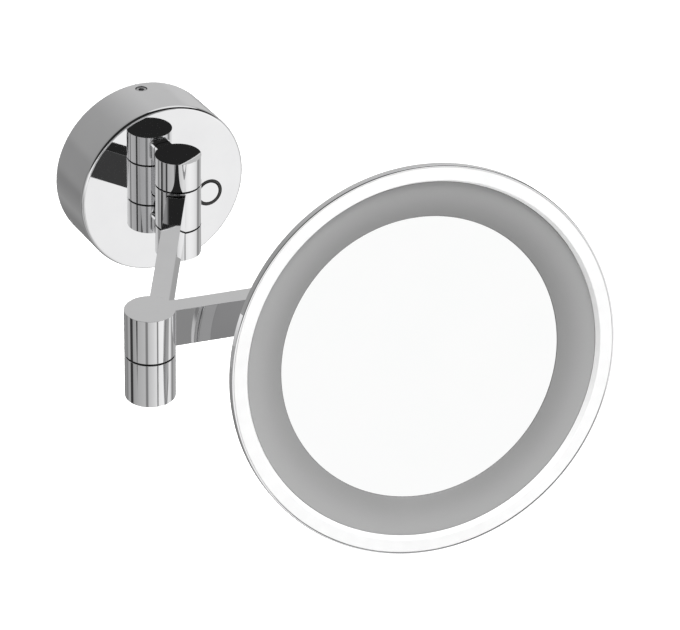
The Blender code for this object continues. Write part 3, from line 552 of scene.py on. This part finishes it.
def make_grub_screw(node, angle):
    top, bottom = BASE_RADIUS - 0.5 * MM, PLATE_RIM_OUTER + GAP
    outline = rounded([(0, top, 0), (GRUB_RADIUS, top, 0.3 * MM), (GRUB_RADIUS, bottom + 0.8 * MM, 0.1 * MM),
                       (2.2 * MM, bottom, 0.1 * MM), (0, bottom, 0)], 4)
    screw = turned(f"visual_{node}", outline, radial(angle, GRUB_DEPTH), 64)
    boolean(screw, "DIFFERENCE",
            rod("socket", 1.7 * MM, top - 2 * MM, top + 1 * MM, radial(angle, GRUB_DEPTH), 6))
    soften(screw, 0.12 * MM, 2, lambda middle, edge: middle.z > top - 0.1 * MM)
    piece(screw, steel, "base", node)


def make_button():
    back = CUP_CEILING - GAP
    flange = BEZEL_RADIUS + 1.8 * MM
    outer = BEZEL_RADIUS - GAP / 3
    outline = rounded([(BEZEL_BORE, BASE_DEPTH, 0.35 * MM), (outer, BASE_DEPTH, 0.45 * MM), (outer, back, 0),
                       (flange, back, 0.2 * MM), (flange, back - 1.5 * MM, 0.2 * MM),
                       (BEZEL_BORE, back - 1.5 * MM, 0.2 * MM)], 5)
    piece(turned("visual_button_bezel", outline, shifted(BASE, (*BUTTON_PLACE, 0)), 96), black_rubber, "base",
          "button_bezel")
    outline = rounded([(0, BASE_DEPTH, 0), (BUTTON_RADIUS, BASE_DEPTH, 0.35 * MM),
                       (BUTTON_RADIUS, BASE_DEPTH - 3 * MM, 0.2 * MM), (2 * MM, BASE_DEPTH - 3 * MM, 0),
                       (2 * MM, 20 * MM, 0.3 * MM), (0, 20 * MM, 0)], 5)
    piece(turned("visual_button", outline, shifted(BASE, (*BUTTON_PLACE, 0)), 96), chrome, "button", "button")


# ---------------------------------------------------------------- barrels and arms
def section(name, bottom, top, matrix):
    return rod(name, BARREL_RADIUS, bottom, top, matrix, MEDIUM)


def pin_bore(matrix, bottom, top):
    """Cutters for a pin's hole and the wide mouth at its lower end."""
    return [rod("bore", EYE_RADIUS, bottom - 1 * MM, top, matrix, SMALL),
            rod("mouth", PIN_MOUTH, bottom - 1 * MM, bottom + MOUTH_HEIGHT, matrix, 96)]


def outside(middle, centres):
    """Whether a point lies clear of the bores about these centres."""
    return all(math.hypot(middle.x - x, middle.y) > PIN_MOUTH + 1 * MM for x in centres)


def make_lugs():
    near, far = SECTION_HALF + SEAM, LUG_TOP
    for name, side in (("upper_lug", 1), ("lower_lug", -1)):
        bottom, top = (near, far) if side > 0 else (-far, -near)
        lug = section(f"visual_{name}", bottom, top, HINGE)
        middle = side * (STEM_TOP - STEM_HEIGHT / 2)
        stem = block("stem", (STEM_WIDTH, STEM_REACH, STEM_HEIGHT), (0, STEM_REACH / 2, middle), HINGE)
        soften(stem, 3 * MM, 8, lambda place, edge: abs(place.y - STEM_REACH / 2) < 0.1 * MM)
        boolean(lug, "UNION", stem)
        if side > 0:
            cutters = [rod("bore", EYE_RADIUS, bottom - 1 * MM, top - BLIND_TOP, HINGE, SMALL)]
        else:
            cutters = pin_bore(HINGE, bottom, top + 1 * MM)
        boolean(lug, "DIFFERENCE", *cutters)
        soften(lug, 0.3 * MM, 3,
               lambda middle, edge: outside(middle, (0,)) and middle.y < STEM_REACH - 0.1 * MM)
        piece(lug, chrome, "base", name)


def make_arms():
    arm = section("visual_arm_1", -SECTION_HALF, SECTION_HALF, ARM_1)
    boolean(arm, "UNION", section("end", -SECTION_HALF, SECTION_HALF, ELBOW_1),
            block("bar", (ARM_1_LENGTH, BAR_THICKNESS, BAR_HEIGHT),
                  (ARM_1_LENGTH / 2, 0, ARM_1_BAR_BOTTOM + BAR_HEIGHT / 2), ARM_1))
    boolean(arm, "DIFFERENCE", rod("eye", EYE_RADIUS, -20 * MM, 20 * MM, ARM_1, SMALL),
            *pin_bore(ELBOW_1, -SECTION_HALF, 20 * MM))
    soften(arm, 0.3 * MM, 3, lambda middle, edge: outside(middle, (0, ARM_1_LENGTH)))
    piece(arm, chrome, "arm_1", "arm_1")

    bottom = SECTION_HALF + SEAM
    arm = section("visual_arm_2", bottom, UPPER_TOP, ARM_2)
    boolean(arm, "UNION", section("end", bottom, UPPER_TOP, HEAD_2),
            block("bar", (ARM_2_LENGTH, BAR_THICKNESS, BAR_HEIGHT),
                  (ARM_2_LENGTH / 2, 0, UPPER_TOP - BAR_HEIGHT / 2), ARM_2))
    boolean(arm, "DIFFERENCE", *[rod("bore", EYE_RADIUS, bottom - 1 * MM, UPPER_TOP - BLIND_TOP, end, SMALL)
                                 for end in (ARM_2, HEAD_2)])
    soften(arm, 0.3 * MM, 3, lambda middle, edge: outside(middle, (0, ARM_2_LENGTH)))
    piece(arm, chrome, "arm_2", "arm_2")


def make_plug(node, matrix, bottom, body):
    outline = rounded([(0, bottom, 0), (PLUG_RADIUS, bottom, 0.35 * MM),
                       (PLUG_RADIUS, bottom + PLUG_HEIGHT, 0.2 * MM), (0, bottom + PLUG_HEIGHT, 0)], 4)
    piece(turned(f"visual_{node}", outline, matrix, 96), chrome, body, node)


def make_washer(node, matrix, inner, outer, middle, body):
    low, high = middle - WASHER / 2, middle + WASHER / 2
    outline = rounded([(inner, low, 0), (outer, low, 0.1 * MM), (outer, high, 0.1 * MM), (inner, high, 0)], 2)
    piece(turned(f"visual_{node}", outline, matrix, 96), black_plastic, body, node)


# ---------------------------------------------------------------- knuckle, bracket and tilt bolt
def make_knuckle():
    knuckle = section("visual_head_knuckle", -SECTION_HALF, SECTION_HALF, HEAD)
    tip = rotated(shifted(HEAD, (TILT_OFFSET, 0, 0)), "X", 90)
    half = TONGUE_WIDTH / 2
    tongue = block("tongue", (TILT_OFFSET, TONGUE_WIDTH, 2 * TONGUE_RADIUS), (TILT_OFFSET / 2, 0, 0), HEAD)
    boolean(knuckle, "UNION", tongue, rod("tongue_end", TONGUE_RADIUS, -half, half, tip, 64))
    boolean(knuckle, "DIFFERENCE", *pin_bore(HEAD, -SECTION_HALF, 20 * MM),
            rod("hole", BOLT_RADIUS + GAP, -20 * MM, 20 * MM, tip, SMALL))
    soften(knuckle, 0.3 * MM, 3, lambda middle, edge: outside(middle, (0,))
           and math.hypot(middle.x - TILT_OFFSET, middle.z) > BOLT_RADIUS + 1 * MM)
    piece(knuckle, chrome, "knuckle", "head_knuckle")


def cross_recess(matrix, size, depth):
    """Cutters for a plain cross slot. The frame's Z points out of the screw's head, from its face."""
    return [block("slot", (*arms, 2 * depth), (0, 0, 0), matrix)
            for arms in ((size, size * 0.26), (size * 0.26, size))]


def make_bracket():
    back, front = BRACKET_BACK, BRACKET_FRONT
    bracket = block("visual_head_bracket", (front - back, BRACKET_WIDTH, BRACKET_HEIGHT),
                    ((front + back) / 2, 0, 0), TILT)
    soften(bracket, 3 * MM, 8, lambda middle, edge: abs(middle.y) > 15 * MM and abs(middle.z) > 13 * MM)
    additions = []
    reach = (back + front) / 2
    for side in (-1, 1):
        across = side * (EAR_INSIDE + EAR_THICKNESS / 2)
        additions.append(block("ear", (reach, EAR_THICKNESS, 2 * EAR_RADIUS), (reach / 2, across, 0), TILT))
        additions.append(rod("ear_end", EAR_RADIUS, -EAR_THICKNESS / 2, EAR_THICKNESS / 2,
                             rotated(shifted(TILT, (0, across, 0)), "X", 90), 64))
    boolean(bracket, "UNION", *additions)
    cutters = [block("window", (20 * MM, 2 * EAR_INSIDE, 2 * TONGUE_RADIUS + 2 * MM), (back, 0, 0), TILT),
               rod("hole", BOLT_RADIUS + GAP, -20 * MM, 20 * MM, rotated(TILT, "X", 90), SMALL)]
    for level_side in (-1, 1):
        for side in (-1, 1):
            place = (0, side * BRACKET_SCREW_ACROSS, level_side * BRACKET_SCREW_UP)
            cutters.append(rod("hole", 1.8 * MM, back - 1 * MM, front + 1 * MM,
                               rotated(shifted(TILT, place), "Y", 90), SMALL))
    boolean(bracket, "DIFFERENCE", *cutters)
    soften(bracket, 0.35 * MM, 3, lambda middle, edge: middle.x < front - 0.1 * MM
           and math.hypot(middle.x, middle.z) > BOLT_RADIUS + 1 * MM)
    piece(bracket, chrome, "mirror_head", "head_bracket")
    tip = MIRROR_OFFSET - COVER_BACK + COVER_SHEET + 0.2 * MM
    head = back - GAP
    for number, (side, up) in enumerate(((-1, 1), (1, 1), (-1, -1), (1, -1)), 1):
        place = (0, side * BRACKET_SCREW_ACROSS, up * BRACKET_SCREW_UP)
        top = head - BRACKET_SCREW_HEIGHT
        outline = rounded([(0, tip, 0), (BRACKET_SCREW_RADIUS, tip, 0.3 * MM), (BRACKET_SCREW_RADIUS, head, 0),
                           (BRACKET_SCREW_HEAD, head, 0.15 * MM), (2.35 * MM, top, 0.8 * MM), (0, top, 0)], 5)
        matrix = rotated(shifted(TILT, place), "Y", 90)
        screw = turned(f"visual_bracket_screw_{number}", outline, matrix, SMALL)
        boolean(screw, "DIFFERENCE",
                *cross_recess(shifted(matrix, (0, 0, top)), 2.6 * MM, 0.9 * MM))
        piece(screw, steel, "mirror_head", f"bracket_screw_{number}")


def make_tilt_bolt():
    along = rotated(TILT, "X", -90)
    outer = EAR_INSIDE + EAR_THICKNESS + GAP
    tip = -outer - 2.4 * MM
    outline = rounded([(0, outer + BOLT_HEAD_HEIGHT, 0), (BOLT_HEAD, outer + BOLT_HEAD_HEIGHT, 0.5 * MM),
                       (BOLT_HEAD, outer, 0.15 * MM), (BOLT_RADIUS, outer, 0), (BOLT_RADIUS, tip, 0.3 * MM),
                       (0, tip, 0)], 5)
    bolt = turned("visual_tilt_bolt", outline, along, 64)
    boolean(bolt, "DIFFERENCE", rod("socket", 1.75 * MM, outer + 0.7 * MM, outer + 4 * MM, along, 6))
    soften(bolt, 0.12 * MM, 2, lambda middle, edge: middle.z > outer + 2.4 * MM)
    piece(bolt, steel, "mirror_head", "tilt_bolt")
    nut = rod("visual_tilt_nut", BOLT_HEAD, -outer - NUT_HEIGHT, -outer, along, 6)
    boolean(nut, "DIFFERENCE", rod("bore", BOLT_RADIUS + GAP, -30 * MM, 0, along, SMALL))
    soften(nut, 0.2 * MM, 3, lambda middle, edge: middle.xy.length > BOLT_RADIUS + 1 * MM)
    piece(nut, steel, "mirror_head", "tilt_nut")
    for side, name in ((1, "left"), (-1, "right")):
        make_washer(f"tilt_washer_{name}", along, BOLT_RADIUS + GAP, 5 * MM,
                    side * (TONGUE_WIDTH + SEAM) / 2, "mirror_head")


# ---------------------------------------------------------------- mirror head
def make_back_cover():
    inside = COVER_BACK - COVER_SHEET
    front, back = RIM_DEPTH + GAP, RIM_DEPTH + GAP + COVER_SHEET
    outline = rounded([(0, -inside, 0), (COVER_FLAT, -inside, 7 * MM), (COVER_SHOULDER, -front, 1 * MM),
                       (COVER_OUTER, -front, 0.2 * MM), (COVER_OUTER, -back, 0.5 * MM),
                       (COVER_SHOULDER + 0.4 * MM, -back, 1 * MM),
                       (COVER_FLAT + 0.4 * MM, -COVER_BACK, 8 * MM),
                       (0, -COVER_BACK, 0)], 16)
    cover = turned("visual_back_cover", outline, MIRROR, FINE)
    holes = []
    for number in range(4):
        place = (*on_circle(COVER_SCREW_CIRCLE, 45 + 90 * number), 0)
        holes.append(rod("hole", 1.55 * MM, -back - 1 * MM, -front + 1 * MM, shifted(MIRROR, place), SMALL))
    for up in (-1, 1):
        for side in (-1, 1):
            place = (-up * BRACKET_SCREW_UP, side * BRACKET_SCREW_ACROSS, 0)
            holes.append(rod("hole", 1.8 * MM, -COVER_BACK - 1 * MM, -inside + 1 * MM, shifted(MIRROR, place),
                             SMALL))
    boolean(cover, "DIFFERENCE", *holes)
    piece(cover, chrome, "mirror_head", "back_cover")
    head = -(back + GAP)
    for number in range(4):
        place = (*on_circle(COVER_SCREW_CIRCLE, 45 + 90 * number), 0)
        tip = -(RIM_DEPTH - RIM_WALL)
        top = head - COVER_SCREW_HEIGHT
        outline = rounded([(0, tip, 0), (COVER_SCREW_RADIUS, tip, 0.2 * MM), (COVER_SCREW_RADIUS, head, 0),
                           (COVER_SCREW_HEAD, head, 0.12 * MM), (2.1 * MM, top, 0.7 * MM), (0, top, 0)], 5)
        matrix = shifted(MIRROR, place)
        screw = turned(f"visual_cover_screw_{number + 1}", outline, matrix, SMALL)
        boolean(screw, "DIFFERENCE",
                *cross_recess(shifted(matrix, (0, 0, top)), 2.3 * MM, 0.8 * MM))
        piece(screw, steel, "mirror_head", f"cover_screw_{number + 1}")


def make_rim():
    inner = HEAD_RADIUS - RIM_WALL
    flange = RIM_DEPTH - RIM_WALL
    lip = 0.55 * MM
    outline = rounded([(inner, 0, lip), (HEAD_RADIUS, 0, lip), (HEAD_RADIUS, -RIM_DEPTH, 0.5 * MM),
                       (RIM_FLANGE_INNER, -RIM_DEPTH, 0.3 * MM), (RIM_FLANGE_INNER, -flange, 0.3 * MM),
                       (inner, -flange, 0.4 * MM)], 8)
    piece(turned("visual_head_rim", outline, MIRROR, FINEST), chrome, "mirror_head", "head_rim")


def make_light_ring():
    """Flat in front, with its inner edge turned down to the dish. Only hairline gaps show."""
    inner, outer = DISH_OUTER + 0.05 * MM, HEAD_RADIUS - RIM_WALL - 0.05 * MM
    front, back = -LIGHT_FRONT, -LIGHT_FRONT - LIGHT_THICKNESS
    outline = rounded([(inner, -LIGHT_SKIRT, 0.1 * MM), (LIGHT_SHOULDER, front, 0.5 * MM),
                       (outer, front, 0.1 * MM), (outer, back, 0.2 * MM), (LIGHT_SHOULDER, back, 0.2 * MM),
                       (LIGHT_SHOULDER, -LIGHT_SKIRT, 0.2 * MM)], 6)
    piece(turned("visual_light_ring", outline, MIRROR, FINEST), opal, "mirror_head", "light_ring")


def make_reflector_ring():
    """The slope curves: shallow next to the light and steeper towards the mirror."""
    lip_end = -(DISH_INNER_DEPTH + DISH_LIP)
    slope = []
    for step in range(1, DISH_STEPS):
        share = step / DISH_STEPS
        rise = (DISH_INNER_DEPTH - DISH_OUTER_DEPTH) * (1.5 * share - 0.5 * share ** 2)
        slope.append((DISH_INNER + (DISH_OUTER - DISH_INNER) * share, rise - DISH_INNER_DEPTH, 0))
    back_inner = DISH_INNER + DISH_SHEET
    outline = rounded([(DISH_INNER, -DISH_INNER_DEPTH, 0.12 * MM), *slope,
                       (DISH_OUTER, -DISH_OUTER_DEPTH, 0.2 * MM),
                       (DISH_OUTER, -DISH_OUTER_DEPTH - DISH_SHEET, 0.2 * MM),
                       (back_inner, -DISH_INNER_DEPTH - DISH_SHEET, 0.3 * MM),
                       (back_inner, lip_end, 0.2 * MM), (DISH_INNER, lip_end, 0.2 * MM)], 6)
    piece(turned("visual_reflector_ring", outline, MIRROR, FINEST), satin, "mirror_head", "reflector_ring")


def make_mirror_glass():
    def depth(radius):
        return MIRROR_EDGE_DEPTH + MIRROR_SAG * (1 - (radius / MIRROR_RADIUS) ** 2)

    count = 24
    edge = 0.15 * MM
    radii = [(MIRROR_RADIUS - edge) * k / count for k in range(1, count + 1)]
    front = [(radius, -depth(radius)) for radius in radii]
    rim_front = (MIRROR_RADIUS, -depth(MIRROR_RADIUS) - 0.12 * MM)
    rim_back = (MIRROR_RADIUS, -depth(MIRROR_RADIUS) - MIRROR_GLASS + 0.3 * MM)
    back = [(radius, -depth(radius) - MIRROR_GLASS) for radius in reversed(radii)]
    glass = turned("visual_mirror_glass", front + [rim_front, rim_back] + back, MIRROR, FINEST)
    shape = bmesh.new()
    shape.from_mesh(glass.data)
    # The outline leaves a small round opening in the middle of each side, joined by a tube: close both flat.
    tube = [face for face in shape.faces
            if all(vert.co.xy.length < radii[0] + 1e-6 for vert in face.verts)]
    bmesh.ops.delete(shape, geom=tube, context="FACES_ONLY")
    bmesh.ops.holes_fill(shape, edges=[edge for edge in shape.edges if edge.is_boundary], sides=0)
    bmesh.ops.recalc_face_normals(shape, faces=shape.faces)
    shape.to_mesh(glass.data)
    shape.free()
    piece(glass, mirror_silver, "mirror_head", "mirror_glass")


# ---------------------------------------------------------------- build
make_wall_plate()
make_base_cup()
make_button()
make_lugs()
make_arms()
make_plug("base_plug", HINGE, -LUG_TOP, "base")
make_plug("elbow_plug", ELBOW_1, -SECTION_HALF, "arm_1")
make_plug("head_plug", HEAD, -SECTION_HALF, "knuckle")
seam = SECTION_HALF + SEAM / 2
make_washer("base_washer_upper", HINGE, EYE_RADIUS, WASHER_RADIUS, seam, "base")
make_washer("base_washer_lower", HINGE, EYE_RADIUS, WASHER_RADIUS, -seam, "base")
make_washer("elbow_washer", ELBOW_1, EYE_RADIUS, WASHER_RADIUS, seam, "arm_1")
make_washer("head_washer", HEAD, EYE_RADIUS, WASHER_RADIUS, seam, "knuckle")
make_knuckle()
make_bracket()
make_tilt_bolt()
make_back_cover()
make_rim()
make_light_ring()
make_reflector_ring()
make_mirror_glass()


# ---------------------------------------------------------------- stage, light and camera
def make_floor():
    floor = block("stage_floor", (14, 14, 0.02), (0, -1, -0.91), Matrix.Identity(4))
    material, tree = new_material("floor")
    where = object_place(tree)
    shade = tree.ramp(tree.noise(where, 3, 3), [(0.3, colour(0.90)), (0.7, colour(0.92))])
    close_material(tree, Base_Color=shade,
                   Roughness=0.9, Emission_Color=(1, 1, 1, 1), Emission_Strength=0.35)
    floor.data.materials.append(material)
    floor.visible_glossy = False


# Brightness all round at three heights, as (azimuth, value). Azimuth 0 is straight out of the wall, and
# positive is towards +X.
LOW = ((-180, 0.22), (-165, 0.30), (-149, 0.22), (-135, 0.42), (-125, 0.38), (-124, 0.04), (-109, 0.04),
       (-108, 0.34), (-80, 0.45), (-48, 0.52), (-44, 0.22), (-37, 0.22), (-33, 0.56), (-10, 0.70), (4, 0.80),
       (19, 0.91), (32, 0.95), (57, 0.89), (78, 0.76), (86, 0.30), (96, 0.27), (107, 0.46), (150, 0.34),
       (165, 0.22), (180, 0.22))
LEVEL = ((-180, 0.34), (-138, 0.28), (-95, 0.22), (-60, 0.60), (-35, 1.0), (55, 1.0), (85, 0.60),
         (105, 0.45), (138, 0.62), (180, 0.34))
HIGH = ((-180, 0.44), (-163, 0.36), (-120, 0.30), (-88, 0.28), (-74, 0.02), (80, 0.02), (105, 0.35),
        (140, 0.54), (160, 0.54), (180, 0.44))
# Round patches of sky, as (direction, angle from middle to edge, value): a softbox overhead, a dark flag to
# the left and a small grey one in front.
PATCHES = (((0.55, 0.08, 0.83), 26, 0.86), ((-0.88, -0.06, -0.46), 4.5, 0.05),
           ((0.12, -0.85, -0.52), 3, 0.26))


def make_world():
    """A studio all round: pale below and in front, grey behind, dark above the front."""
    world = bpy.data.worlds.new("studio")
    bpy.context.scene.world = world
    world.use_nodes = True
    tree = Tree(world.node_tree)
    direction = tree.add("ShaderNodeTexCoord").outputs["Generated"]
    x, y, z = tree.add("ShaderNodeSeparateXYZ", {"Vector": direction}).outputs
    azimuth = tree.range(tree.math("ARCTAN2", x, tree.math("MULTIPLY", y, -1)), -math.pi, math.pi, 0, 1)
    low, level_band, high = (tree.ramp(azimuth, [((angle + 180) / 360, value) for angle, value in stops])
                             for stops in (LOW, LEVEL, HIGH))

    def mixed(factor, one, other):
        mix = tree.add("ShaderNodeMix", data_type="RGBA")
        for index, value in ((0, factor), (6, one), (7, other)):
            tree.tree.links.new(value, mix.inputs[index])
        return mix.outputs[2]

    lower_half = mixed(tree.range(z, -0.42, -0.20, 0, 1, smooth=True), low, level_band)
    sky = mixed(tree.range(z, 0.06, 0.20, 0, 1, smooth=True), lower_half, high)
    for towards, reach, value in PATCHES:
        towards = Vector(towards).normalized()
        facing = tree.add("ShaderNodeVectorMath", {0: direction, 1: towards}, operation="DOT_PRODUCT")
        near, far = math.cos(math.radians(reach - 0.5)), math.cos(math.radians(reach + 0.5))
        patch = tree.add("ShaderNodeRGB")
        patch.outputs[0].default_value = colour(value)
        sky = mixed(tree.range(facing.outputs["Value"], far, near, 0, 1, smooth=True), sky, patch.outputs[0])
    studio = tree.add("ShaderNodeBackground", {"Color": sky, "Strength": 1.0}).outputs[0]
    plain = tree.add("ShaderNodeBackground", {"Color": (1, 1, 1, 1), "Strength": 1.0}).outputs[0]
    seen = tree.add("ShaderNodeLightPath").outputs["Is Camera Ray"]
    mix = tree.add("ShaderNodeMixShader")
    for index, value in ((0, seen), (1, studio), (2, plain)):
        tree.tree.links.new(value, mix.inputs[index])
    tree.add("ShaderNodeOutputWorld", {"Surface": mix.outputs[0]})


def make_area_light(name, place, target, size, power):
    data = bpy.data.lights.new(name, "AREA")
    data.shape = "DISK"
    data.size = size
    data.energy = power
    light = bpy.data.objects.new(name, data)
    bpy.context.scene.collection.objects.link(light)
    light.location = place
    light.rotation_mode = "QUATERNION"
    light.rotation_quaternion = (Vector(target) - Vector(place)).to_track_quat("-Z", "Y")
    light.visible_glossy = False


CAMERA_PLACE, CAMERA_LENS = (-0.58738, -1.22311, 0.70995), 145.32
CAMERA_ANGLES = (-30.55, 30.73, 1.9366)     # azimuth, elevation and roll


def make_camera():
    data = bpy.data.cameras.new("camera")
    data.sensor_fit = "HORIZONTAL"
    data.sensor_width = 36
    data.lens = CAMERA_LENS
    data.clip_start, data.clip_end = 0.05, 50
    camera = bpy.data.objects.new("camera", data)
    bpy.context.scene.collection.objects.link(camera)
    azimuth, elevation, roll = (math.radians(angle) for angle in CAMERA_ANGLES)
    back = Vector((math.sin(azimuth) * math.cos(elevation), -math.cos(azimuth) * math.cos(elevation),
                   math.sin(elevation)))
    right = Vector((math.cos(azimuth), math.sin(azimuth), 0))
    up = back.cross(right)
    rolled_right = math.cos(roll) * right + math.sin(roll) * up
    rolled_up = math.cos(roll) * up - math.sin(roll) * right
    turn = Matrix((rolled_right, rolled_up, back)).transposed().to_4x4()
    camera.matrix_world = Matrix.Translation(CAMERA_PLACE) @ turn
    bpy.context.scene.camera = camera


make_floor()
make_world()
make_area_light("key", (0.5, -1.6, 2.2), (0, -0.2, 0), 1.6, 60)
make_area_light("floor_light", (0, -0.6, 3.2), (0, -0.6, 0), 3.5, 260)
make_camera()
bpy.context.scene.view_settings.view_transform = "Standard"
